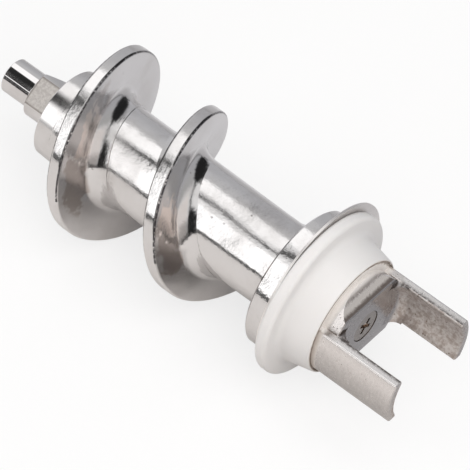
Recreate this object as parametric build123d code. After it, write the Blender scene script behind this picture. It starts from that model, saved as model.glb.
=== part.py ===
from build123d import *
import math
import os

# Meat grinder auger, millimetres, lying on its side on the floor z = 0.
# Places along the auger are measured from the free end of the front pin.
# Turn angles are measured about the auger's own axis, before it is laid down.

# The auger's axis and how it lies
LENGTH = 140.2            # free end of the pin to the tips of the drive fork
LIE_ROLL = 36.0           # the auger is rolled by this about its axis where it rests

# Front pin and knife seat
PIN_R = 5.0               # runs in the bearing of the hole plate
PIN_CHAMFER = 0.25
SEAT_START = 9.1
SEAT_R = 6.55             # turned blank of the knife seat
SEAT_FLAT = 5.05          # half of the distance across the two milled flats
SEAT_SHOULDER = 0.5       # cone between the pin and the seat
SEAT_TURN = 90.0          # which way the first flat faces
SEAT_RELIEF = 15.0        # slope of the relief milled beside the first flat
SEAT_OVERLAP = 2.0        # the pin and the seat run this far into what is behind them

# Collar and tapered core
COLLAR_START = 18.6
COLLAR_R = 12.75
COLLAR_EDGE = 0.3
COLLAR_END = 22.5
COLLAR_END_R = 12.95
CORE_PROFILE = [(26.0, 13.05), (30.0, 13.0), (38.0, 12.6), (52.0, 12.45), (70.0, 12.2), (88.0, 11.85)]

# The flight: turn angle, place of the rim's middle, rim radius, rim width
FLIGHT = [
    (-135, 26.8, 13.1, 3.0), (-120, 26.9, 17.5, 3.4), (-100, 27.0, 22.6, 3.7),
    (-75, 27.1, 25.2, 3.9), (-45, 27.2, 25.7, 3.9), (-15, 27.4, 25.7, 3.8),
    (15, 27.9, 25.6, 3.7), (45, 29.3, 25.5, 3.8), (75, 30.9, 25.3, 4.0),
    (105, 33.2, 25.2, 3.9), (135, 35.4, 25.1, 3.7), (165, 37.6, 25.0, 3.6),
    (195, 40.1, 24.9, 3.6), (225, 43.5, 24.7, 3.6), (255, 46.3, 24.5, 3.6),
    (285, 48.9, 24.3, 3.7), (315, 51.2, 24.1, 3.8), (345, 52.7, 23.9, 3.9),
    (375, 54.4, 23.6, 3.9), (405, 56.6, 23.4, 4.0), (435, 59.2, 23.2, 4.1),
    (465, 62.5, 23.0, 4.1), (495, 66.3, 22.7, 4.0), (525, 69.7, 22.4, 3.9),
    (555, 73.0, 22.2, 3.8), (585, 76.6, 21.8, 3.7), (615, 80.4, 21.2, 3.6),
    (645, 84.6, 20.3, 3.5), (675, 89.2, 19.4, 3.4), (705, 94.2, 18.7, 3.4),
    (735, 98.6, 18.0, 3.0),
]
RIM_ROUND = 0.7           # rounded corners of the rim
FLANK_DRAFT = 0.6         # each flank leans out by this from rim to root
ROOT_FILLET = 3.0         # height of the fillet at the flight's root
ROOT_RUN = 1.9            # the fillet runs out along the core by this times its height
ROOT_HANDLE = 0.55        # roundness of the fillet's curve
ROOT_SINK = 0.10          # the root fillet ends this far under the core's skin
FLIGHT_INNER_R = 8.0      # the flight is one with the core down to here

# Rear shoulder and tapped hole
SHOULDER_START = 96.7
SHOULDER_R = 19.9
SHOULDER_END = 102.4
SHOULDER_EDGE = 0.5
SHOULDER_FILLET = 2.2
SPIGOT_FLAT_START = 107.0
THREAD_R = 2.6
THREAD_END = 101.5        # floor of the tapped hole

# Thin thrust washer
WASHER_T = 0.6
WASHER_R = 24.2

# White bearing bush
BUSH_START = SHOULDER_END + WASHER_T
BUSH_FLANGE_R = 23.8
BUSH_FLANGE_T = 3.6
BUSH_FLANGE_ROUND = 1.1
BUSH_ROOT_ROUND = 2.2
BUSH_END = 115.4
BUSH_FLOOR = 107.0

# Drive fork
FORK_START = BUSH_FLOOR
FORK_R = 16.2
FIT_GAP = 0.08            # running gap between nested turned faces
FORK_LEDGE = 115.1
FORK_STEP = 2.2           # the hub stands back from the base by this
FORK_HUB_R = FORK_R - FORK_STEP
FORK_HUB_END = 119.9
FORK_CUT = 6.36           # the flats are cut this far inside the base's radius
FORK_FLAT = FORK_R - FORK_CUT
FORK_FLAT_START = 116.1   # each sloping flat runs out through the hub's side here
FORK_FLAT_SAG = 0.6       # how far each flat is hollowed by its round cutter
FORK_EDGE = 0.25          # bright bevel along the hub's front edges
PRONG_HALF = 7.15         # half of the prongs' width
PRONG_WALL = 2.55
PRONG_INNER_R = FORK_R - PRONG_WALL
PRONG_ROUND = 0.55        # rounded long edges of the prongs
PRONG_EDGE = 0.3          # bevel round the prongs' tips
CROTCH_FILLET = 3.2       # between the hub's end face and the prongs
FORK_TURN = 55.2          # which way the hub's flat faces

# The bush's neck, round the fork's base
BUSH_LIP = 0.72           # wall of the neck at its end
BUSH_TAPER = 1.9          # the neck's wall grows by this towards the flange
BUSH_END_ROUND = 0.6
BUSH_END_R = FORK_R + FIT_GAP + BUSH_LIP
BUSH_ROOT_R = BUSH_END_R + BUSH_TAPER

# Rear spigot of the casting, inside the bush and the fork
FORK_COVER = 7.2          # wall of the fork's base round the spigot
SPIGOT_R = FORK_R - FORK_COVER
SPIGOT_END = 112.0
SPIGOT_CUT = 2.0
SPIGOT_FLAT = SPIGOT_R - SPIGOT_CUT    # half of the distance across the drive flats

# The washer's bore, and how far it hangs off centre by its play on the spigot
WASHER_PLAY = 2.2
WASHER_BORE = SPIGOT_R + WASHER_PLAY
WASHER_SHIFT = (1.8, -0.9)

# Countersunk screw that holds the fork and the bush
SCREW_HEAD_R = 4.6
SCREW_HEAD_SINK = 0.15    # the head lies this far under the hub's face
SCREW_LAND = 0.35
SCREW_R = 2.45
SCREW_LENGTH = 16.0
SCREW_HOLE_R = 2.75
RECESS_WIDTH = 1.1
RECESS_SPAN = 4.9
RECESS_DEPTH = 1.9
RECESS_TURN = 20.0


def rod(start, end, radius):
    """A cylinder along the auger's axis."""
    body = Cylinder(radius, end - start, align=(Align.CENTER, Align.CENTER, Align.MIN))
    return Pos(start, 0, 0) * Rot(Y=90) * body


def turned(points):
    """A solid turned about the axis from (place, radius) points."""
    return revolve(make_face(Polyline(*points, close=True)), Axis.X)


def block(start, end, width_y, width_z, y=0.0, z=0.0):
    """A box along the axis, centred across it on y and z."""
    body = Box(end - start, width_y, width_z, align=(Align.MIN, Align.CENTER, Align.CENTER))
    return Pos(start, y, z) * body


def core_radius(place):
    """Radius of the core under the flight, read from the core's profile."""
    points = [(COLLAR_START, COLLAR_R), (COLLAR_END, COLLAR_END_R)] + CORE_PROFILE
    points.append((SHOULDER_END, CORE_PROFILE[-1][1]))
    for (s0, r0), (s1, r1) in zip(points, points[1:]):
        if s0 <= place <= s1:
            return r0 + (r1 - r0) * (place - s0) / (s1 - s0)
    return points[-1][1]


def make_pin_and_seat():
    """Polished front pin, and behind it the seat that drives the knife."""
    pin = chamfer(rod(0, SEAT_START + SEAT_OVERLAP, PIN_R).edges().group_by(Axis.X)[0], PIN_CHAMFER)
    seat_end = COLLAR_START + SEAT_OVERLAP
    seat = turned([
        (SEAT_START, 0), (SEAT_START, PIN_R + 0.2),
        (SEAT_START + SEAT_SHOULDER, SEAT_R), (seat_end, SEAT_R), (seat_end, 0),
    ])
    flats = block(SEAT_START, seat_end, 4 * SEAT_R, 2 * SEAT_FLAT)
    cutter = block(-SEAT_R, 2 * SEAT_R, SEAT_R, 4 * SEAT_R, y=SEAT_R / 2)
    relief = Pos(SEAT_START, PIN_R, 0) * Rot(Z=SEAT_RELIEF) * cutter
    return pin + Rot(X=SEAT_TURN - 90) * ((seat & flats) - relief)


def make_core():
    """Collar, slender core and rear shoulder, turned as one piece."""
    last_s, last_r = CORE_PROFILE[-1]
    fillet_s = SHOULDER_START - SHOULDER_FILLET
    fillet_r = last_r + SHOULDER_FILLET
    lean = math.sqrt(0.5) * SHOULDER_FILLET
    outline = [
        Line((COLLAR_START, 0), (COLLAR_START, COLLAR_R - COLLAR_EDGE)),
        Line((COLLAR_START, COLLAR_R - COLLAR_EDGE), (COLLAR_START + COLLAR_EDGE, COLLAR_R)),
        Line((COLLAR_START + COLLAR_EDGE, COLLAR_R), (COLLAR_END, COLLAR_END_R)),
        Spline([(COLLAR_END, COLLAR_END_R)] + CORE_PROFILE + [(fillet_s, last_r)]),
        ThreePointArc((fillet_s, last_r), (fillet_s + lean, fillet_r - lean),
                      (SHOULDER_START, fillet_r)),
        Line((SHOULDER_START, fillet_r), (SHOULDER_START, SHOULDER_R - SHOULDER_EDGE)),
        Line((SHOULDER_START, SHOULDER_R - SHOULDER_EDGE),
             (SHOULDER_START + SHOULDER_EDGE, SHOULDER_R)),
        Line((SHOULDER_START + SHOULDER_EDGE, SHOULDER_R), (SHOULDER_END, SHOULDER_R)),
        Line((SHOULDER_END, SHOULDER_R), (SHOULDER_END, 0)),
        Line((SHOULDER_END, 0), (COLLAR_START, 0)),
    ]
    return revolve(make_face(outline), Axis.X)


def flight_section(turn, place, rim, width):
    """One cut through the flight, in the plane that holds the axis at this turn."""
    root = core_radius(place) - ROOT_SINK
    height = rim - root
    fillet = min(ROOT_FILLET, 0.45 * height)
    rounding = min(RIM_ROUND, 0.3 * height)
    draft = min(FLANK_DRAFT, 0.1 * height)
    half = width / 2
    lean_rim = rounding * (1 - math.sqrt(0.5))
    run_out = ROOT_RUN * fillet

    def side(sign):
        rim_corner = (place + sign * (half - rounding), rim)
        flank_top = (place + sign * half, rim - rounding)
        flank_foot = (place + sign * (half + draft), root + fillet)
        foot = (place + sign * (half + draft + run_out), root)
        mid_rim = (place + sign * (half - lean_rim), rim - lean_rim)
        inner = (foot[0], FLIGHT_INNER_R)
        along = (foot[0] - sign * ROOT_HANDLE * run_out, root)
        upward = (flank_foot[0], root + (1 - ROOT_HANDLE) * fillet)
        hollow = Bezier(foot, along, upward, flank_foot)
        return rim_corner, mid_rim, flank_top, flank_foot, hollow, foot, inner

    c0, m0, t0, f0, h0, e0, i0 = side(-1)
    c1, m1, t1, f1, h1, e1, i1 = side(1)
    outline = [
        Line(i0, e0), h0, Line(f0, t0), ThreePointArc(t0, m0, c0),
        Line(c0, c1), ThreePointArc(c1, m1, t1), Line(t1, f1), h1,
        Line(e1, i1), Line(i1, i0),
    ]
    angle = math.radians(turn)
    plane = Plane((0, 0, 0), x_dir=(1, 0, 0), z_dir=(0, -math.sin(angle), math.cos(angle)))
    return plane * make_face(outline)


def make_flight():
    """The helical flight, its pitch growing from the knife end to the drive end."""
    sections = [flight_section(*station) for station in FLIGHT]
    return loft(sections)


def make_spigot():
    """Rear spigot through washer and bush, with two drive flats and a tapped hole."""
    flats = block(SPIGOT_FLAT_START, SPIGOT_END, 2 * SPIGOT_FLAT, 4 * SPIGOT_R)
    tongue = rod(SPIGOT_FLAT_START, SPIGOT_END, SPIGOT_R) & flats
    return rod(SHOULDER_END - 1, SPIGOT_FLAT_START, SPIGOT_R) + Rot(X=FORK_TURN) * tongue


def make_auger():
    """The whole casting: pin, seat, collar, core, flight, shoulder and spigot."""
    flight = make_flight() & rod(0, SHOULDER_END, 2 * SHOULDER_R)
    body = make_core() + flight
    body = body + make_pin_and_seat() + make_spigot()
    return body - rod(THREAD_END, SPIGOT_END + 1, THREAD_R)


def make_washer():
    """Thin steel washer between the casting's shoulder and the bush."""
    shift = Pos(0, WASHER_SHIFT[0], WASHER_SHIFT[1])
    end = SHOULDER_END + WASHER_T
    return shift * (rod(SHOULDER_END, end, WASHER_R) - rod(SHOULDER_END - 1, end + 1, WASHER_BORE))


def make_bush():
    """White flanged bush, its neck tapering a little to a rounded end."""
    flange_end = BUSH_START + BUSH_FLANGE_T
    bore = FORK_R + FIT_GAP
    spigot_bore = SPIGOT_R + FIT_GAP
    body = turned([
        (BUSH_START, spigot_bore), (BUSH_START, BUSH_FLANGE_R), (flange_end, BUSH_FLANGE_R),
        (flange_end, BUSH_ROOT_R), (BUSH_END, BUSH_END_R), (BUSH_END, bore),
        (BUSH_FLOOR, bore), (BUSH_FLOOR, spigot_bore),
    ])
    def rim(place, radius):
        ring = body.edges().filter_by(GeomType.CIRCLE)
        return ring.filter_by(lambda e: abs(e.center().X - place) < 0.01
                              and abs(e.radius - radius) < 0.01)
    body = fillet(rim(flange_end, BUSH_ROOT_R), BUSH_ROOT_ROUND)
    body = fillet(rim(BUSH_START, BUSH_FLANGE_R) + rim(flange_end, BUSH_FLANGE_R),
                  BUSH_FLANGE_ROUND)
    return fillet(rim(BUSH_END, BUSH_END_R), BUSH_END_ROUND)


def make_hub_flat(side):
    """What the round cutter takes off one side of the hub: a hollow, sloping flat."""
    front = (FORK_HUB_END, FORK_FLAT)
    exit_point = (FORK_FLAT_START, FORK_HUB_R)
    run = front[0] - exit_point[0]
    rise = exit_point[1] - front[1]
    chord = math.hypot(run, rise)
    middle = ((front[0] + exit_point[0]) / 2 - FORK_FLAT_SAG * rise / chord,
              (front[1] + exit_point[1]) / 2 - FORK_FLAT_SAG * run / chord)
    beyond = FORK_HUB_END + 1
    outside = FORK_HUB_R + FORK_FLAT
    outline = [
        Line((beyond, FORK_FLAT), front),
        ThreePointArc(front, middle, exit_point),
        Line(exit_point, (FORK_FLAT_START, outside)),
        Line((FORK_FLAT_START, outside), (beyond, outside)),
        Line((beyond, outside), (beyond, FORK_FLAT)),
    ]
    cutter = extrude(make_face(outline), amount=FORK_R, both=True)
    return Rot(X=90 - 90 * side) * cutter


def make_prongs():
    """Two arc-shaped prongs with rounded edges and a fillet into the hub."""
    ring = rod(FORK_LEDGE - 1, LENGTH, FORK_R) - rod(FORK_LEDGE - 2, LENGTH + 1, PRONG_INNER_R)
    prongs = ring & block(FORK_LEDGE - 1, LENGTH, 2 * PRONG_HALF, 3 * FORK_R)
    prongs = fillet(prongs.edges().filter_by(Axis.X), PRONG_ROUND)
    prongs = chamfer(prongs.edges().group_by(Axis.X)[-1], PRONG_EDGE)
    start = FORK_HUB_END - 0.5
    top = FORK_HUB_END + CROTCH_FILLET
    floor_r = PRONG_INNER_R - CROTCH_FILLET
    lean = CROTCH_FILLET * (1 - math.sqrt(0.5))
    fill = revolve(make_face([
        Line((start, floor_r), (FORK_HUB_END, floor_r)),
        ThreePointArc((FORK_HUB_END, floor_r), (FORK_HUB_END + lean, PRONG_INNER_R - lean),
                      (top, PRONG_INNER_R)),
        Line((top, PRONG_INNER_R), (top, PRONG_INNER_R + 0.8)),
        Line((top, PRONG_INNER_R + 0.8), (start, PRONG_INNER_R + 0.8)),
        Line((start, PRONG_INNER_R + 0.8), (start, floor_r)),
    ]), Axis.X)
    fill = fill & block(start, top, 2 * PRONG_HALF - 0.1, 3 * FORK_R)
    return prongs + fill


def make_fork():
    """Drive fork: round base in the bush, hub with two flats, and two prongs."""
    hub = rod(FORK_LEDGE - 1, FORK_HUB_END, FORK_HUB_R)
    hub = chamfer(hub.edges().group_by(Axis.X)[-1], FORK_EDGE)
    hub = hub - make_hub_flat(1) - make_hub_flat(-1)
    hub = chamfer(hub.edges().group_by(Axis.X)[-1].filter_by(GeomType.LINE), FORK_EDGE)
    body = rod(FORK_START, FORK_LEDGE, FORK_R) + hub + make_prongs()
    socket = rod(FORK_START - 1, SPIGOT_END + FIT_GAP, SPIGOT_R + FIT_GAP)
    socket = socket & block(FORK_START - 1, SPIGOT_END + 1,
                            2 * (SPIGOT_FLAT + FIT_GAP), 4 * SPIGOT_R)
    face = FORK_HUB_END - SCREW_HEAD_SINK - SCREW_LAND
    sink = turned([
        (face - SCREW_HEAD_R, 0), (face, SCREW_HEAD_R + FIT_GAP),
        (FORK_HUB_END + 1, SCREW_HEAD_R + FIT_GAP), (FORK_HUB_END + 1, 0),
    ])
    body = body - socket - sink - rod(FORK_START, FORK_HUB_END, SCREW_HOLE_R)
    return Rot(X=FORK_TURN) * body


def make_screw():
    """Countersunk screw with a cross recess."""
    top = FORK_HUB_END - SCREW_HEAD_SINK
    land = top - SCREW_LAND
    neck = land - (SCREW_HEAD_R - SCREW_R)
    body = turned([
        (top - SCREW_LENGTH, 0), (top - SCREW_LENGTH, SCREW_R - 0.6),
        (top - SCREW_LENGTH + 0.6, SCREW_R), (neck, SCREW_R), (land, SCREW_HEAD_R),
        (top - 0.12, SCREW_HEAD_R), (top, SCREW_HEAD_R - 0.12), (top, 0),
    ])
    arm = block(top - RECESS_DEPTH, top + 1, RECESS_WIDTH, RECESS_SPAN)
    arm = chamfer(arm.edges().group_by(Axis.X)[0].filter_by(Axis.Y), RECESS_DEPTH * 0.6)
    cross = arm + Rot(X=90) * arm
    return body - Rot(X=RECESS_TURN) * cross


def lay_down(pieces):
    """Roll the auger to where it rests and set its lowest point on the floor."""
    laid = {name: Rot(X=LIE_ROLL) * shape for name, shape in pieces.items()}
    whole = Compound(children=[shape.solid() for shape in laid.values()])
    box = whole.bounding_box(optimal=True)
    shift = Pos(-(box.min.X + box.max.X) / 2, -(box.min.Y + box.max.Y) / 2, -box.min.Z)
    return {name: shift * shape for name, shape in laid.items()}, shift


PIECES = {
    "auger_casting": make_auger(),
    "thrust_washer": make_washer(),
    "bearing_bush": make_bush(),
    "drive_fork": make_fork(),
    "fork_screw": make_screw(),
}

os.makedirs("parts", exist_ok=True)
laid, shift = lay_down(PIECES)
print("axis sits at", [round(v, 3) for v in shift.position])
for name, shape in laid.items():
    solids = shape.solids()
    print(name, "solids", len(solids), "volume", round(shape.volume, 1))
    export_step(shape.solid(), f"parts/{name}.step")
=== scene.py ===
# %% [markdown]
# A worm for a household meat grinder, about 14 cm long. It is one steel casting, polished by hand
# until it mirrors the studio, with a thin washer, a white plastic bush, a steel drive fork and one
# countersunk screw on its rear end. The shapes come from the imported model. This file gives each
# piece the finish that the real one has, and builds the studio round it.

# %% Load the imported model
import math

import bpy
from mathutils import Matrix, Vector

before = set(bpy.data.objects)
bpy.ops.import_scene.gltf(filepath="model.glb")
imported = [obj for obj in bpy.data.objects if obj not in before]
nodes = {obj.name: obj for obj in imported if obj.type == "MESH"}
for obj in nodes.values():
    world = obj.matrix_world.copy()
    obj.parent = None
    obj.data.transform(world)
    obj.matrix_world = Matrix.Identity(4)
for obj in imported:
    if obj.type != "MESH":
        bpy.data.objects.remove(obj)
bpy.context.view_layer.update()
print("pieces:", sorted(nodes))

# %% [markdown]
# Every finish below needs to know where on the worm it is: how far along the axis, and how far
# out. The axis is given in metres, in the frame of the model. The places along it are where one
# finish meets the next, in millimetres from the pin's end, as a sliding gauge would read them off.

# %% Places on the worm
PIN_END_X = -0.0701
AXIS_Y = -0.000557
AXIS_Z = 0.024626
ROLL = math.radians(36.0)

SEAT_START, SEAT_END = 9.2, 18.4
TURNED_END = 23.9
FLIGHT_START, FLIGHT_END = 23.5, 96.0
BUSH_MOUTH = 115.0
FOOT_END = 115.9
HUB_FACE = 119.7
print("axis runs at y", AXIS_Y, "z", AXIS_Z)

# %% [markdown]
# The camera first, because every later choice is judged through it. A product photograph like this
# one is taken with a long lens from about a metre away, so the worm hardly narrows to the rear.
# The camera looks down at the worm from the fork's side, and is tipped a little to one side so
# that the worm runs across the picture from corner to corner. A matrix of three directions sets
# that exactly, where turning the camera by three angles would take trial and error.

# %% Camera
camera_data = bpy.data.cameras.new("product_camera")
camera_data.sensor_width = 36.0
camera_data.lens = 268.4
camera_data.clip_start = 0.05
camera_data.clip_end = 50.0
camera = bpy.data.objects.new("product_camera", camera_data)
bpy.context.scene.collection.objects.link(camera)
look_right = Vector((0.76016, 0.64093, 0.10664))
look_up = Vector((-0.54292, 0.53641, 0.64615))
look_back = Vector((0.35693, -0.54907, 0.75573))
camera_place = Vector((0.32649, -0.49244, 0.70094))
camera.matrix_world = Matrix((
    (look_right.x, look_up.x, look_back.x, camera_place.x),
    (look_right.y, look_up.y, look_back.y, camera_place.y),
    (look_right.z, look_up.z, look_back.z, camera_place.z),
    (0.0, 0.0, 0.0, 1.0),
))
bpy.context.scene.camera = camera
bpy.context.scene.view_settings.view_transform = "Standard"
print("camera looks along", tuple(round(-c, 3) for c in look_back))

# %% [markdown]
# Materials and the studio's light are both built from nodes. This helper adds one node and wires
# it in the same line: a socket given as an input is linked, and anything else is set as its value.

# %% A helper for nodes
def put(tree, kind, inputs=None, **settings):
    """Adds a node, sets its settings, and links or sets its inputs."""
    node = tree.nodes.new(kind)
    for name, value in settings.items():
        setattr(node, name, value)
    for name, value in (inputs or {}).items():
        socket = node.inputs[name]
        if isinstance(value, bpy.types.NodeSocket):
            tree.links.new(value, socket)
        else:
            socket.default_value = value
    return node


print("node helper ready")

# %% [markdown]
# Most of a finish is masks: numbers from 0 to 1 that say where on the surface something is. These
# helpers make them from a few Math and Map Range nodes. A smooth step has no kink, so it stands
# for the soft edge that polishing, wear or light leaves.

# %% Helpers for sums and masks
DEGREES = 180.0 / math.pi


def calc(tree, operation, a, b=0.0, clamp=False):
    """One Math node, and its output."""
    return put(tree, "ShaderNodeMath", {0: a, 1: b}, operation=operation,
               use_clamp=clamp).outputs[0]


def times(tree, product, *others):
    """The product of values and masks."""
    for other in others:
        product = calc(tree, "MULTIPLY", product, other)
    return product


def fade(tree, value, start, end, low=0.0, high=1.0):
    """A soft step from low to high while value goes from start to end."""
    node = put(tree, "ShaderNodeMapRange", {
        "Value": value, "From Min": start, "From Max": end, "To Min": low, "To Max": high,
    }, interpolation_type="SMOOTHSTEP")
    return node.outputs["Result"]


def between(tree, value, start, end, soft):
    """A mask that is 1 from start to end, and fades within soft on both sides of each."""
    rise = fade(tree, value, start - soft, start + soft)
    fall = fade(tree, value, end - soft, end + soft, 1.0, 0.0)
    return times(tree, rise, fall)


def past_half_turn(tree, angle):
    """Gives an angle of -180 to 180 degrees as -90 to 270, which has no break on the near side."""
    return calc(tree, "ADD", angle, times(tree, calc(tree, "LESS_THAN", angle, -90.0), 360.0))


print("sum and mask helpers ready")

# %% [markdown]
# A mask then chooses between two colours or two values. Blender's Mix node does both, and only the
# numbers of its sockets differ.

# %% Helpers for mixing
def blend_colour(tree, mask, first, second):
    """Mixes two colours by a mask."""
    return put(tree, "ShaderNodeMix", {0: mask, 6: first, 7: second}, data_type="RGBA").outputs[2]


def blend_value(tree, mask, first, second):
    """Mixes two values by a mask."""
    return put(tree, "ShaderNodeMix", {0: mask, 2: first, 3: second}, data_type="FLOAT").outputs[0]


print("mixing helpers ready")

# %% [markdown]
# Polished metal has almost no colour of its own: what we see in it is the studio. So the light is
# built as a studio, in the world's nodes, and read back from the photograph: each mirrored spot of
# the worm tells how bright the studio is in one direction. A direction is given by its turn about
# the worm's axis (0 is the far side, 90 is straight up, 180 is the near side) and by its lean
# along the axis (minus is towards the pin). Real lamps would do as well, but would stand in the
# way of the camera.

# %% Directions in the studio
world = bpy.data.worlds.new("studio")
bpy.context.scene.world = world
world.use_nodes = True
sky = world.node_tree
sky.nodes.clear()
direction = put(sky, "ShaderNodeTexCoord").outputs["Generated"]
lean, across, height = put(sky, "ShaderNodeSeparateXYZ", {"Vector": direction}).outputs
turn = past_half_turn(sky, times(sky, calc(sky, "ARCTAN2", height, across), DEGREES))
print("studio directions: turn in degrees, lean from -1 to 1")

# %% [markdown]
# Each line of the table paints one panel or dark gap with soft edges over the ones before it. What
# faces the pin's end mirrors leans under about -0.66, and what faces the fork mirrors leans over
# 0.2. What is round mirrors a narrow range between, which shifts from -0.43 at the pin to -0.29 at
# the fork, so the pin and the collar can have lines of their own.

# %% Panels and gaps
BASE_LIGHT = 0.66
PANELS = (
    # level, turn from and to and its softness, lean from and to and its softness
    (0.54, -95, 30, 18, -0.60, -0.27, 0.05),         # round sections: the far side
    (0.48, -95, 84, 12, 0.22, 1.30, 0.06),           # facing the fork: the far side
    (0.86, 90, 150, 10, 0.22, 1.30, 0.06),           # facing the fork: above
    (0.46, 152, 275, 12, 0.22, 1.30, 0.06),          # facing the fork: the near side
    (0.95, 66, 140, 8, -0.28, 0.04, 0.03),           # root fillets: bright above
    (0.05, 60, 130, 8, 0.035, 0.10, 0.02),           # root fillets: a thin dark line
    (1.40, 58, 95, 4, -0.66, -0.275, 0.02),          # round sections: the upper lamp
    (1.05, 93, 118, 5, -1.20, -0.275, 0.02),         # round sections: between the lamps
    (1.62, 118, 174, 4, -0.80, -0.275, 0.02),        # round sections: the front lamp
    (0.06, 101, 109, 4, -1.20, -0.275, 0.02),        # round sections: a dark gap
    (0.60, 36, 66, 8, -1.30, -0.80, 0.05),           # facing the pin's end: the far side
    (0.13, 90, 130, 6, -1.30, -0.66, 0.03),          # facing the pin's end: dark above
    (0.05, 99, 128, 10, -0.60, -0.406, 0.006),       # collar and first rim: a dark cloud
    (0.03, 93, 154, 1.5, -0.4335, -0.4200, 0.0015),  # pin: a black band
    (0.07, 158, 183, 1.5, -0.4335, -0.4200, 0.0015),  # pin: a second black band
    (0.12, 173, 182, 2, -0.4225, 1.20, 0.004),       # a dark line at the near horizon
)
light = BASE_LIGHT
for level, turn_from, turn_to, turn_soft, lean_from, lean_to, lean_soft in PANELS:
    mask = times(sky, between(sky, turn, turn_from, turn_to, turn_soft),
                 between(sky, lean, lean_from, lean_to, lean_soft))
    light = blend_value(sky, mask, light, level)
print("studio has", len(PANELS), "panels and gaps")

# %% [markdown]
# The hollow fillet where the flight grows out of the core gathers a wide piece of the studio, and
# shows its dark places as black crescents. Painted as ellipses, they get tapering ends, where a
# panel would give them blunt ones. An ellipse is a circle in stretched coordinates, so its mask is
# the distance from its middle.

# %% Dark rounds
ROUND_CORE = 0.62
DARK_ROUNDS = (
    # level, middle turn and half its width, middle lean and half its width
    (0.02, 35, 52, 0.00, 0.33),
    (0.02, 160, 44, -0.03, 0.28),
)
for level, turn_at, turn_half, lean_at, lean_half in DARK_ROUNDS:
    aside = calc(sky, "DIVIDE", calc(sky, "SUBTRACT", turn, turn_at), turn_half)
    ahead = calc(sky, "DIVIDE", calc(sky, "SUBTRACT", lean, lean_at), lean_half)
    off = calc(sky, "SQRT", calc(sky, "ADD", times(sky, aside, aside), times(sky, ahead, ahead)))
    light = blend_value(sky, fade(sky, off, ROUND_CORE, 1.0, 1.0, 0.0), light, level)
print("and", len(DARK_ROUNDS), "dark rounds")

# %% [markdown]
# The light is a little cool on the far side, warm elsewhere and rosy behind the fork. The camera
# itself sees plain pale grey in place of the panels, as the photograph's background is almost
# white. The Light Path node tells its rays from the mirrored ones.

# %% Colour of the studio
COOL_LIGHT = (0.98, 0.98, 1.01, 1.0)
WARM_LIGHT = (1.0, 0.99, 0.985, 1.0)
ROSY_LIGHT = (1.0, 0.935, 0.90, 1.0)
BACKDROP = (0.97, 0.97, 0.97, 1.0)
tint = blend_colour(sky, fade(sky, turn, 20.0, 70.0), COOL_LIGHT, WARM_LIGHT)
rosy = times(sky, fade(sky, lean, 0.15, 0.35), fade(sky, turn, 80.0, 110.0))
tint = blend_colour(sky, rosy, tint, ROSY_LIGHT)
panels = put(sky, "ShaderNodeBackground", {"Color": tint, "Strength": light})
plain = put(sky, "ShaderNodeBackground", {"Color": BACKDROP, "Strength": 1.0})
seen = put(sky, "ShaderNodeLightPath").outputs["Is Camera Ray"]
mixed = put(sky, "ShaderNodeMixShader", {0: seen, 1: panels.outputs[0], 2: plain.outputs[0]})
put(sky, "ShaderNodeOutputWorld", {"Surface": mixed.outputs[0]})
print("studio:", len(sky.nodes), "nodes")

# %% [markdown]
# One wide lamp above and in front of the fork fills the floor and the white bush. It is kept out
# of reflections, so it doesn't show as a spot in the polished metal.

# %% Fill lamp
FILL_PLACE = (0.40, -0.25, 0.78)
bpy.ops.object.light_add(type="AREA", location=FILL_PLACE)
fill = bpy.context.object
fill.name = "fill_lamp"
fill.rotation_euler = Vector(FILL_PLACE).to_track_quat("Z", "Y").to_euler()
fill.data.shape = "DISK"
fill.data.size = 1.2
fill.data.energy = 5.3
fill.data.color = (1.0, 0.99, 0.98)
fill.visible_glossy = False
fill.visible_camera = False
print("fill lamp", fill.data.energy, "W")

# %% [markdown]
# The floor is a plain round sheet, wide enough that its edge stays out of the picture.

# %% Floor
FLOOR_RADIUS = 2.5
bpy.ops.object.select_all(action="DESELECT")
bpy.ops.mesh.primitive_circle_add(vertices=96, radius=FLOOR_RADIUS, fill_type="NGON",
                                  location=(0, 0, 0))
floor = bpy.context.object
floor.name = "studio_floor"
print("floor radius", FLOOR_RADIUS, "m")

# %% [markdown]
# The photograph shows the floor blown out to white, so to the camera it glows a little by itself
# and its shadows stay faint. In the steel it mirrors as the beige sheet that it is, so to every
# other ray it is paint with painted shade. The sheet near the camera is beige and the one beyond
# the worm is bluish. The near one has painted shade that deepens towards the worm on the fork's
# side, and the far one has painted shade under the fork: a painted contact shadow that only the
# mirror shows. The far one also gets darker away from the worm.

# %% Floor paint
NEAR_BEIGE = (0.86, 0.835, 0.815)
FAR_BLUISH = (0.83, 0.83, 0.85)
CAMERA_GREY = (0.25, 0.25, 0.25, 1.0)
CAMERA_GLOW = 0.73
floor_paint = bpy.data.materials.new("pale_floor")
floor_paint.use_nodes = True
tree = floor_paint.node_tree
surface = tree.nodes["Principled BSDF"]
where = put(tree, "ShaderNodeTexCoord").outputs["Object"]
floor_x, floor_y = put(tree, "ShaderNodeSeparateXYZ", {0: where}).outputs[:2]
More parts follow.
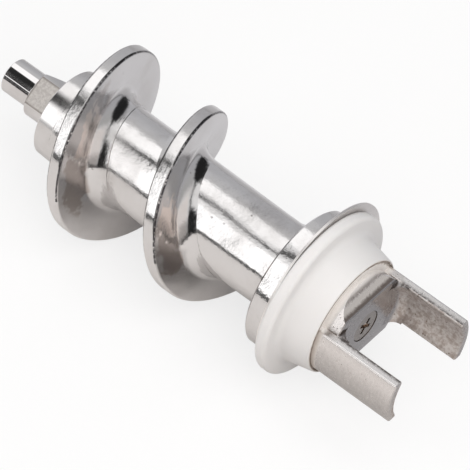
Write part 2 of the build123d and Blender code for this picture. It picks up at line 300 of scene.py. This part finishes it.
# painted shade: the floor darkens towards the worm and under the fork, a painted contact shadow
# that only mirrored rays see
near_painted_shade = fade(tree, floor_y, -0.10, -0.006, 1.0, fade(tree, floor_x, 0.015, 0.035, 1.0, 0.62))
far_tone_and_shade = times(tree, fade(tree, floor_y, 0.02, 0.12, 1.0, 0.70),
            fade(tree, floor_x, 0.045, 0.065, 1.0, 0.52))
near_sheet, far_sheet = [
    put(tree, "ShaderNodeVectorMath", {0: colour, "Scale": shade}, operation="SCALE").outputs[0]
    for colour, shade in ((NEAR_BEIGE, near_painted_shade), (FAR_BLUISH, far_tone_and_shade))]
sheet = blend_colour(tree, fade(tree, floor_y, -0.004, 0.012), near_sheet, far_sheet)
seen = put(tree, "ShaderNodeLightPath").outputs["Is Camera Ray"]
tree.links.new(blend_colour(tree, seen, sheet, CAMERA_GREY), surface.inputs["Base Color"])
tree.links.new(times(tree, seen, CAMERA_GLOW), surface.inputs["Emission Strength"])
surface.inputs["Emission Color"].default_value = (1.0, 1.0, 1.0, 1.0)
surface.inputs["Roughness"].default_value = 0.9
surface.inputs["Specular IOR Level"].default_value = 0.1
floor.data.materials.append(floor_paint)
print("material:", floor_paint.name)

# %% [markdown]
# Several finishes need the place on the worm, so this is the first shader group. It takes Object
# coordinates and puts out the millimetres from the pin's end, the radius from the axis and the
# clock angle in degrees. A group is built once and used in each material, as a part is used in an
# assembly.

# %% Shader group: place on the worm
FLOAT, VECTOR = "NodeSocketFloat", "NodeSocketVector"
MILLIMETRES = 1000.0


def new_group(name, inputs, outputs):
    """A node group with named inputs, and with named outputs that are all floats."""
    group = bpy.data.node_groups.new(name, "ShaderNodeTree")
    for label, kind, value in inputs:
        made = group.interface.new_socket(label, in_out="INPUT", socket_type=kind)
        if value is not None:
            made.default_value = value
    for label in outputs:
        group.interface.new_socket(label, in_out="OUTPUT", socket_type=FLOAT)
    entry, leave = group.nodes.new("NodeGroupInput"), group.nodes.new("NodeGroupOutput")
    return group, entry.outputs, leave.inputs


place_group, given, result = new_group(
    "place on worm", [("Vector", VECTOR, None)], ["Along", "Radius", "Clock"])
along, across, height = [
    times(place_group, calc(place_group, "SUBTRACT", metres, start), MILLIMETRES)
    for metres, start in zip(
        put(place_group, "ShaderNodeSeparateXYZ", {0: given["Vector"]}).outputs,
        (PIN_END_X, AXIS_Y, AXIS_Z))]
squares = calc(place_group, "ADD", times(place_group, across, across),
               times(place_group, height, height))
place_group.links.new(along, result["Along"])
place_group.links.new(calc(place_group, "SQRT", squares), result["Radius"])
place_group.links.new(times(place_group, calc(place_group, "ARCTAN2", height, across), DEGREES),
                      result["Clock"])
print("group:", place_group.name)

# %% [markdown]
# Nothing on a used worm is quite even, so each finish below mixes in a few noise textures. A noise
# that is stretched by a Mapping node turns into lines, as a brush or a wheel leaves them.

# %% Helpers for noise
def noise(tree, vector, scale, detail, roughness=0.5):
    """The grey value of a noise texture."""
    return put(tree, "ShaderNodeTexNoise", {
        "Vector": vector, "Scale": scale, "Detail": detail, "Roughness": roughness}).outputs["Fac"]


def stretch(tree, vector, scale, turned=(0.0, 0.0, 0.0)):
    """Coordinates that are turned and stretched."""
    return put(tree, "ShaderNodeMapping", {
        "Vector": vector, "Rotation": turned, "Scale": scale}).outputs[0]


def dots_of(tree, vector, scale, core, edge):
    """Round dots, one in each cell of a Voronoi texture."""
    cells = put(tree, "ShaderNodeTexVoronoi", {"Vector": vector, "Scale": scale})
    return fade(tree, cells.outputs["Distance"], core, edge, 1.0, 0.0)


print("noise helpers ready")

# %% [markdown]
# Hand polishing leaves a surface that is bright but not true: the wheel digs in a little here and
# skips there, so mirrored edges wander. The waves are three noises, from broad ones down to a fine
# ripple, in millimetres of height. Each swings about zero, so that a part with smaller waves meets
# its neighbour without a step.

# %% Shader group: hand polish, the waves
polish_group, given, result = new_group(
    "hand polish",
    [("Vector", VECTOR, None), ("Wave", FLOAT, 1.0), ("Scratches", FLOAT, 1.0),
     ("Pits", FLOAT, 1.0)],
    ["Height", "Haze", "Pit Mask"])
spot = given["Vector"]
wide = noise(polish_group, stretch(polish_group, spot, (42.0, 88.0, 88.0)), 1.0, 1.5, 0.45)
dents = noise(polish_group, spot, 165.0, 1.0)
ripple = noise(polish_group, spot, 1300.0, 2.0, 0.55)
waves = 0.0
for wave, size in ((wide, 0.62), (dents, 0.13), (ripple, 0.028)):
    swing = calc(polish_group, "SUBTRACT", wave, 0.5)
    waves = calc(polish_group, "ADD", waves, times(polish_group, swing, size))
waves = times(polish_group, waves, given["Wave"])
print("group:", polish_group.name, "has its waves")

# %% [markdown]
# Under the polish stay fine scratches and a few pits of the casting. Both are cut into the height.
# A smeared haze dulls the mirror here and there, and a little along each scratch.

# %% Shader group: hand polish, scratches, pits and haze
SCRATCH_DEPTH, PIT_DEPTH = 0.0016, 0.05
lines = noise(polish_group, stretch(polish_group, spot, (220.0, 2600.0, 2600.0), (0.3, 0.5, 0.9)),
              1.0, 3.0, 0.6)
scratches = times(polish_group, fade(polish_group, lines, 0.60, 0.72), given["Scratches"])
sparse = fade(polish_group, noise(polish_group, spot, 160.0, 1.0), 0.56, 0.66)
pits = times(polish_group, dots_of(polish_group, spot, 330.0, 0.05, 0.14), sparse, given["Pits"])
carved = calc(polish_group, "ADD", times(polish_group, scratches, SCRATCH_DEPTH),
              times(polish_group, pits, PIT_DEPTH))
smear = fade(polish_group, noise(polish_group, spot, 70.0, 4.0, 0.65), 0.42, 0.68)
haze = calc(polish_group, "ADD", smear, times(polish_group, scratches, 0.5))
polish_group.links.new(calc(polish_group, "SUBTRACT", waves, carved), result["Height"])
polish_group.links.new(haze, result["Haze"])
polish_group.links.new(pits, result["Pit Mask"])
print("group:", polish_group.name, len(polish_group.nodes), "nodes")

# %% [markdown]
# Each material starts and ends in the same way, so two helpers do that. Values that are the same
# all over a piece are set on the shader's own sockets. Only colour, roughness, metal and relief
# change over a surface here.

# %% Helpers for materials
def start_material(name, **constants):
    """A material with one Principled shader and its constant values."""
    material = bpy.data.materials.new(name)
    material.use_nodes = True
    surface = material.node_tree.nodes["Principled BSDF"]
    for label, value in constants.items():
        surface.inputs[label.replace("_", " ")].default_value = value
    where = put(material.node_tree, "ShaderNodeTexCoord").outputs["Object"]
    return material, material.node_tree, surface, where


def use(tree, group, inputs):
    """Places a shader group in a tree."""
    return put(tree, "ShaderNodeGroup", inputs, node_tree=group).outputs


def finish_material(tree, surface, skin, rough, relief, strength=1.0):
    """Wires colour, roughness and a relief in millimetres into the shader."""
    tree.links.new(skin, surface.inputs["Base Color"])
    tree.links.new(rough, surface.inputs["Roughness"])
    bump = put(tree, "ShaderNodeBump", {
        "Height": relief, "Strength": strength, "Distance": 1.0 / MILLIMETRES})
    tree.links.new(bump.outputs[0], surface.inputs["Normal"])


print("material helpers ready")

# %% [markdown]
# The casting is polished steel with little colour, and each part of it was finished with another
# tool. The pin is turned and burnished, so it is the best mirror. The collar is turned too. The
# knife seat has two milled flats and a sloping relief, which stay dull. The rim of the flight is
# ground. The masks find these parts by their place and by the way the surface faces. The Normal of
# Texture Coordinate is the piece's own, so the masks stay where they are in every view.

# %% Casting: where each finish lies
casting, tree, surface, where = start_material("polished_cast_steel", Metallic=1.0)
place = use(tree, place_group, {"Vector": where})
facing = put(tree, "ShaderNodeTexCoord").outputs["Normal"]
facing_x = put(tree, "ShaderNodeSeparateXYZ", {0: facing}).outputs[0]
facing_ends = calc(tree, "ABSOLUTE", facing_x)

pin = fade(tree, place["Along"], SEAT_START - 0.3, SEAT_START, 1.0, 0.0)
seat = between(tree, place["Along"], SEAT_START, SEAT_END, 0.1)
turned = times(tree, fade(tree, place["Along"], TURNED_END - 0.3, TURNED_END, 1.0, 0.0),
               fade(tree, place["Radius"], 13.3, 13.6, 1.0, 0.0))
rim = fade(tree, place["Radius"], 20.6, 21.2)
side_face = times(tree, fade(tree, facing_ends, 0.55, 0.85),
                  between(tree, place["Along"], FLIGHT_START, FLIGHT_END, 0.5))

flat_way = (0.0, math.cos(ROLL + math.pi / 2), math.sin(ROLL + math.pi / 2))
towards = put(tree, "ShaderNodeVectorMath", {0: facing, 1: flat_way}, operation="DOT_PRODUCT")
on_flat = fade(tree, calc(tree, "ABSOLUTE", towards.outputs["Value"]), 0.985, 0.995)
flats = times(tree, on_flat, between(tree, place["Along"], SEAT_START, SEAT_END + 0.15, 0.05),
              fade(tree, place["Radius"], 7.2, 7.3, 1.0, 0.0))
sloped = times(tree, between(tree, facing_x, -0.95, -0.25, 0.05),
               between(tree, place["Along"], SEAT_START + 0.4, SEAT_END, 0.1))
milled = calc(tree, "MAXIMUM", flats, sloped)
print("casting masks: pin, seat, milled, turned, rim, side faces")

# %% [markdown]
# The waves are small where a lathe cut the surface, full on the core, where only the wheel went,
# and smaller again towards the rim. The mirror is sharpest on the pin, softer on the flanks of the
# flight, which the wheel reaches badly, and weakest on the milled faces. The ground rim has more
# scratches than the rest.

# %% Casting: polish and roughness
wave_size = blend_value(tree, turned, 1.0, 0.08)
wave_size = blend_value(tree, pin, wave_size, 0.01)
wave_size = blend_value(tree, fade(tree, place["Radius"], 18.5, 24.5), wave_size, 0.6)
polish = use(tree, polish_group, {
    "Vector": where, "Wave": wave_size, "Pits": blend_value(tree, pin, 0.4, 0.0),
    "Scratches": blend_value(tree, rim, blend_value(tree, pin, 0.4, 0.0), 1.2)})
casting_rough = calc(tree, "ADD", 0.09, times(tree, polish["Haze"], 0.11))
for part, value in ((pin, 0.03), (seat, 0.30), (milled, 0.46), (side_face, 0.19)):
    casting_rough = blend_value(tree, part, casting_rough, value)
print("casting waves and roughness set")

# %% [markdown]
# The steel is nearly grey. The milled faces are beige and cloudy, and darker along their edges and
# at the seat's ends.

# %% Casting: colour of the steel
BRIGHT_STEEL = (0.71, 0.70, 0.70, 1.0)
HAZY_STEEL = (0.65, 0.635, 0.63, 1.0)
PIT_DARK = (0.16, 0.13, 0.11, 1.0)
MILLED_DARK = (0.58, 0.545, 0.52, 1.0)
MILLED_PALE = (0.72, 0.69, 0.66, 1.0)
SEAT_EDGE_DARK = (0.22, 0.19, 0.17, 1.0)
steel = blend_colour(tree, polish["Haze"], BRIGHT_STEEL, HAZY_STEEL)
steel = blend_colour(tree, polish["Pit Mask"], steel, PIT_DARK)
cloudy = noise(tree, where, 1300.0, 4.0, 0.7)
milled_tone = blend_colour(tree, fade(tree, cloudy, 0.36, 0.64), MILLED_DARK, MILLED_PALE)
steel = blend_colour(tree, milled, steel, milled_tone)
seat_ends = calc(tree, "ADD", fade(tree, place["Along"], SEAT_START + 0.6, SEAT_START + 0.2),
                 fade(tree, place["Along"], SEAT_END - 0.4, SEAT_END))
seat_edge = calc(tree, "ADD", fade(tree, place["Radius"], 6.1, 6.5), seat_ends, clamp=True)
steel = blend_colour(tree, times(tree, seat_edge, milled, 0.7), steel, SEAT_EDGE_DARK)
print("casting colour set")

# %% [markdown]
# Pinkish and brown patches are painted on the rear flanks: painted reflections of the core. Each
# one is a window of clock angle and radius on one turn of the flight, and the same noise shifts
# both, so that its outline drifts.

# %% Casting: painted reflections on the flanks
PINK_REFLECTION = (0.97, 0.87, 0.81, 1.0)
BROWN_REFLECTION = (0.40, 0.345, 0.315, 1.0)
FRONT_TURN, MIDDLE_TURN = (30.0, 45.0), (58.0, 78.0)
REFLECTION_ROOT = 13.6
FLANK_REFLECTIONS = (
    # which turn of the flight, clock from and to, outer radius, strength, colour
    (FRONT_TURN, 92.0, 112.0, 23.0, 0.35, BROWN_REFLECTION),
    (FRONT_TURN, 112.0, 150.0, 20.5, 0.75, PINK_REFLECTION),
    (FRONT_TURN, 152.0, 194.0, 22.5, 0.75, BROWN_REFLECTION),
    (MIDDLE_TURN, 138.0, 163.0, 21.5, 0.85, PINK_REFLECTION),
    (MIDDLE_TURN, 164.0, 196.0, 21.0, 0.75, BROWN_REFLECTION),
)
rear_flank = fade(tree, facing_x, 0.60, 0.85)
drift = calc(tree, "SUBTRACT", noise(tree, where, 190.0, 3.0, 0.6), 0.5)
reflection_clock = calc(tree, "ADD", past_half_turn(tree, place["Clock"]), times(tree, drift, 65.0))
reflection_radius = calc(tree, "ADD", place["Radius"], times(tree, drift, -9.0))
# each window paints a pinkish or brown reflection of the core onto the rear flank
for (along_from, along_to), clock_from, clock_to, radius_to, strength, colour in FLANK_REFLECTIONS:
    flank_reflection = times(tree, between(tree, reflection_clock, clock_from, clock_to, 4.0),
                 between(tree, reflection_radius, REFLECTION_ROOT, radius_to, 0.7),
                 between(tree, place["Along"], along_from, along_to, 1.0),
                 rear_flank, strength)
    steel = blend_colour(tree, flank_reflection, steel, colour)
print("casting has", len(FLANK_REFLECTIONS), "painted reflections")

# %% [markdown]
# A broken dark line is painted along the rounded corners of the rim, on its upper half and only
# before the shoulder: a painted reflection of the studio's dark places in the rounded edge. The
# corners are where the surface faces neither straight outwards nor straight to an end.

# %% Casting: painted dark reflection at the rim's corners
RIM_EDGE_REFLECTION = (0.05, 0.045, 0.05, 1.0)
corners = between(tree, facing_ends, 0.36, 0.88, 0.06)
broken = fade(tree, cloudy, 0.36, 0.50)
upper_side = fade(tree, place["Clock"], -20.0, 30.0)
before_shoulder = fade(tree, place["Along"], 88.0, 90.0, 1.0, 0.0)
# painted dark reflection along the rim's rounded corners, on the upper half only
rim_edge_reflection = times(tree, corners, broken, upper_side, rim, before_shoulder, 0.95)
steel = blend_colour(tree, rim_edge_reflection, steel, RIM_EDGE_REFLECTION)
finish_material(tree, surface, steel, casting_rough, polish["Height"])
print("material:", casting.name, len(tree.nodes), "nodes")

# %% [markdown]
# The fork, the washer and the screw have a satin skin of fine grains, with small pits that stand
# in clumps. They share this group, each with its own coarseness.

# %% Shader group: satin grain
grain_group, given, result = new_group(
    "satin grain", [("Vector", VECTOR, None), ("Coarse", FLOAT, 1.0)],
    ["Height", "Tone", "Pit Mask"])
spot = given["Vector"]
fine = noise(grain_group, spot, 3200.0, 2.0, 0.6)
coarse = noise(grain_group, spot, 1100.0, 3.0, 0.6)
grains = calc(grain_group, "ADD", times(grain_group, fine, 0.005),
              times(grain_group, coarse, given["Coarse"], 0.009))
clumps = fade(grain_group, noise(grain_group, spot, 240.0, 3.0, 0.6), 0.48, 0.60)
pits = times(grain_group, dots_of(grain_group, spot, 900.0, 0.10, 0.24), clumps)
sunk = calc(grain_group, "SUBTRACT", grains, times(grain_group, pits, 0.02))
grain_group.links.new(sunk, result["Height"])
grain_group.links.new(coarse, result["Tone"])
grain_group.links.new(pits, result["Pit Mask"])
print("group:", grain_group.name)

# %% [markdown]
# The fork is sintered and milled steel. Its prongs are clean and satin outside, stained and pitted
# inside, and their narrow long sides get a painted highlight. The foot is as it came from the
# lathe. The inner corners get painted shade, which an Ambient Occlusion node finds.

# %% Fork: where each finish lies
fork_steel, tree, surface, where = start_material("satin_fork_steel", Metallic=1.0)
place = use(tree, place_group, {"Vector": where})
grain = use(tree, grain_group, {"Vector": where, "Coarse": 1.0})
facing_x, _, facing_z = put(tree, "ShaderNodeSeparateXYZ", {
    0: put(tree, "ShaderNodeTexCoord").outputs["Normal"]}).outputs
prong = fade(tree, place["Along"], HUB_FACE - 0.2, HUB_FACE + 1.8)
inside = times(tree, fade(tree, place["Radius"], 14.0, 15.4, 1.0, 0.0), prong)
up_facing_side = times(tree, fade(tree, facing_z, 0.90, 0.96), prong)
foot = fade(tree, place["Along"], FOOT_END + 1.5, FOOT_END)
hub_end = times(tree, between(tree, place["Along"], HUB_FACE - 0.1, HUB_FACE + 0.9, 0.2),
                fade(tree, place["Radius"], 13.6, 14.0, 1.0, 0.0))
hub_flat = times(tree, between(tree, facing_x, 0.15, 0.90, 0.06),
                 between(tree, place["Along"], FOOT_END, HUB_FACE, 0.1),
                 fade(tree, place["Radius"], 14.2, 13.8))
# painted shade: darker in the inner corners that an Ambient Occlusion node finds, and less on the
# foot
crevice = put(tree, "ShaderNodeAmbientOcclusion", {"Distance": 0.0022}, samples=6).outputs["AO"]
painted_shade = fade(tree, calc(tree, "ADD", crevice, times(tree, grain["Tone"], 0.3)),
             0.78, 1.02, 1.0, 0.0)
painted_shade = times(tree, painted_shade, blend_value(tree, foot, 1.0, 0.25))
print("fork masks: prong, inside, long side, foot, hub end, hub flat, grime")

# %% [markdown]
# The satin skin mixes its grains with the short lines that grinding leaves. Inside the prongs it
# is paler, under brown stains and more pits.

# %% Fork: satin skin, stains and pits
SATIN_DARK = (0.64, 0.61, 0.595, 1.0)
SATIN_PALE = (0.81, 0.78, 0.765, 1.0)
INNER_PALE = (0.95, 0.90, 0.86, 1.0)
STAIN_BROWN = (0.38, 0.295, 0.25, 1.0)
PIT_BROWN = (0.26, 0.18, 0.13, 1.0)
ground = noise(tree, stretch(tree, where, (3400.0, 420.0, 420.0), (0.0, 0.0, 0.25)),
               1.0, 3.0, 0.65)
satin = calc(tree, "ADD", times(tree, grain["Tone"], 0.5), times(tree, ground, 0.5))
satin = fade(tree, satin, 0.26, 0.74)
stain = times(tree, fade(tree, noise(tree, where, 700.0, 5.0, 0.7), 0.38, 0.64), inside)
pits = times(tree, grain["Pit Mask"], blend_value(tree, inside, 0.25, 1.0))
skin = blend_colour(tree, satin, SATIN_DARK, SATIN_PALE)
skin = blend_colour(tree, times(tree, inside, 0.4), skin, INNER_PALE)
skin = blend_colour(tree, times(tree, stain, 0.7), skin, STAIN_BROWN)
skin = blend_colour(tree, pits, skin, PIT_BROWN)
print("fork skin set")

# %% [markdown]
# The narrow long sides of the prongs, as far as they face up here, get a painted highlight, with a
# painted dark reflection along their inner edge, broken into specks. The sloping flats of the hub
# get a painted highlight in a streak across them and painted shade round it.

# %% Fork: painted highlights on the long sides and hub flats
SIDE_HIGHLIGHT = (0.93, 0.92, 0.92, 1.0)
SIDE_EDGE_REFLECTION = (0.12, 0.105, 0.10, 1.0)
FLAT_SHADE = (0.26, 0.22, 0.20, 1.0)
FLAT_HIGHLIGHT = (0.97, 0.91, 0.85, 1.0)
inner_edge = times(tree, up_facing_side, fade(tree, place["Radius"], 15.3, 14.3))
specks = fade(tree, grain["Tone"], 0.38, 0.56, 0.35, 0.95)
flat_highlight_streak = between(tree, calc(tree, "ADD", place["Along"], grain["Tone"]),
                 FOOT_END + 1.7, HUB_FACE - 0.5, 0.45)
# painted highlight on the up-facing long sides, then a painted dark reflection in specks along
# their inner edge
skin = blend_colour(tree, times(tree, up_facing_side, 0.5), skin, SIDE_HIGHLIGHT)
skin = blend_colour(tree, times(tree, inner_edge, specks), skin, SIDE_EDGE_REFLECTION)
# painted highlight streak across the hub flats, with painted shade round it
skin = blend_colour(tree, hub_flat, skin, blend_colour(tree, flat_highlight_streak, FLAT_SHADE, FLAT_HIGHLIGHT))
print("fork long sides and hub flats set")

# %% [markdown]
# The foot is paler and rougher than the rest, with a brown ring of dried juice where it goes into
# the bush. The hub's end face, which lies between the prongs, gets painted shade. The painted
# shade in the inner corners goes over everything, as it comes last.

# %% Fork: foot, painted shade and roughness
FOOT_PALE = (0.95, 0.92, 0.89, 1.0)
JUICE_BROWN = (0.30, 0.225, 0.17, 1.0)
HUB_END_SHADE = (0.50, 0.49, 0.50, 1.0)
CORNER_SHADE = (0.17, 0.125, 0.095, 1.0)
dried = fade(tree, calc(tree, "ADD", place["Radius"], times(tree, grain["Tone"], 1.4)),
             16.15, 16.55)
skin = blend_colour(tree, foot, skin, FOOT_PALE)
skin = blend_colour(tree, times(tree, dried, foot, 0.6), skin, JUICE_BROWN)
# painted shade on the hub's end face, between the prongs
skin = blend_colour(tree, times(tree, hub_end, 0.8), skin, HUB_END_SHADE)
# painted shade in the inner corners, laid over the skin
skin = blend_colour(tree, times(tree, painted_shade, 0.8), skin, CORNER_SHADE)
rough = blend_value(tree, satin, 0.15, 0.30)
rough = blend_value(tree, foot, rough, 0.55)
rough = blend_value(tree, inside, rough, 0.36)
rough = calc(tree, "ADD", rough, times(tree, pits, 0.3))
tree.links.new(blend_value(tree, foot, 1.0, 0.15), surface.inputs["Metallic"])
finish_material(tree, surface, skin, rough, grain["Height"])
print("material:", fork_steel.name, len(tree.nodes), "nodes")

# %% [markdown]
# The screw is plain steel. Its head was driven once and washed many times, so the recess is brown,
# with pale flecks.

# %% Material: screw
SCREW_DARK = (0.40, 0.37, 0.35, 1.0)
SCREW_PALE = (0.52, 0.485, 0.455, 1.0)
RECESS_BROWN = (0.20, 0.11, 0.06, 1.0)
FLECK_PALE = (0.85, 0.74, 0.64, 1.0)
screw_steel, tree, surface, where = start_material("plain_screw_steel", Metallic=1.0)
place = use(tree, place_group, {"Vector": where})
grain = use(tree, grain_group, {"Vector": where, "Coarse": 0.6})
recess = fade(tree, place["Along"], HUB_FACE - 0.04, HUB_FACE - 0.40)
flecks = fade(tree, grain["Tone"], 0.50, 0.60)
skin = blend_colour(tree, grain["Tone"], SCREW_DARK, SCREW_PALE)
skin = blend_colour(tree, recess, skin, blend_colour(tree, flecks, RECESS_BROWN, FLECK_PALE))
finish_material(tree, surface, skin, blend_value(tree, recess, 0.25, 0.55), grain["Height"])
print("material:", screw_steel.name)

# %% [markdown]
# The washer is thin rolled steel, dull, with fine rolling lines and small brown pits.

# %% Material: washer
WASHER_DARK = (0.78, 0.755, 0.74, 1.0)
WASHER_PALE = (0.90, 0.875, 0.86, 1.0)
WASHER_PIT = (0.25, 0.17, 0.11, 1.0)
washer_steel, tree, surface, where = start_material("dull_washer_steel", Metallic=1.0)
grain = use(tree, grain_group, {"Vector": where, "Coarse": 0.5})
rolled = noise(tree, stretch(tree, where, (2000.0, 90.0, 2600.0)), 1.0, 2.0)
skin = blend_colour(tree, rolled, WASHER_DARK, WASHER_PALE)
skin = blend_colour(tree, times(tree, grain["Pit Mask"], 0.6), skin, WASHER_PIT)
finish_material(tree, surface, skin, blend_value(tree, rolled, 0.28, 0.40), grain["Height"], 0.6)
print("material:", washer_steel.name)

# %% [markdown]
# The bush is moulded in white bearing plastic. It is satin, lets a little light in, and has turned
# slightly yellow where the fork comes out of it. A thin, broken brown line marks the seam there.

# %% Material: white bush
WHITE_DARK = (0.77, 0.76, 0.755, 1.0)
WHITE_PALE = (0.81, 0.805, 0.80, 1.0)
YELLOWED = (0.60, 0.50, 0.38, 1.0)
SEAM_BROWN = (0.16, 0.11, 0.075, 1.0)
bush_plastic, tree, surface, where = start_material(
    "white_bearing_plastic", Metallic=0.0, IOR=1.48, Subsurface_Weight=0.12,
    Subsurface_Radius=(1.0, 0.9, 0.8), Subsurface_Scale=0.0012)
place = use(tree, place_group, {"Vector": where})
cloud = noise(tree, where, 60.0, 3.0)
fine = noise(tree, where, 900.0, 2.0)
mouth = times(tree, fade(tree, place["Radius"], 17.2, 16.2),
              fade(tree, place["Along"], BUSH_MOUTH, BUSH_MOUTH + 0.3))
uneven = fade(tree, noise(tree, where, 420.0, 2.0), 0.30, 0.50, 0.35, 0.95)
seam = times(tree, fade(tree, place["Radius"], 16.85, 16.5), uneven,
             fade(tree, place["Along"], BUSH_MOUTH - 0.8, BUSH_MOUTH - 0.4))
skin = blend_colour(tree, cloud, WHITE_DARK, WHITE_PALE)
skin = blend_colour(tree, times(tree, mouth, 0.4), skin, YELLOWED)
skin = blend_colour(tree, seam, skin, SEAM_BROWN)
moulded = calc(tree, "ADD", times(tree, fine, 0.006), times(tree, cloud, 0.05))
finish_material(tree, surface, skin, blend_value(tree, fine, 0.30, 0.44), moulded)
print("material:", bush_plastic.name)

# %% [markdown]
# Each finish goes into the material slot of the model's own piece. The pieces already have the
# real worm's shape, so nothing is added to them here.

# %% Give each piece its finish
finishes = {"auger_casting": casting, "drive_fork": fork_steel, "fork_screw": screw_steel,
            "thrust_washer": washer_steel, "bearing_bush": bush_plastic}
for name, material in finishes.items():
    nodes[name].material_slots[0].material = material
    print(name, "->", material.name)
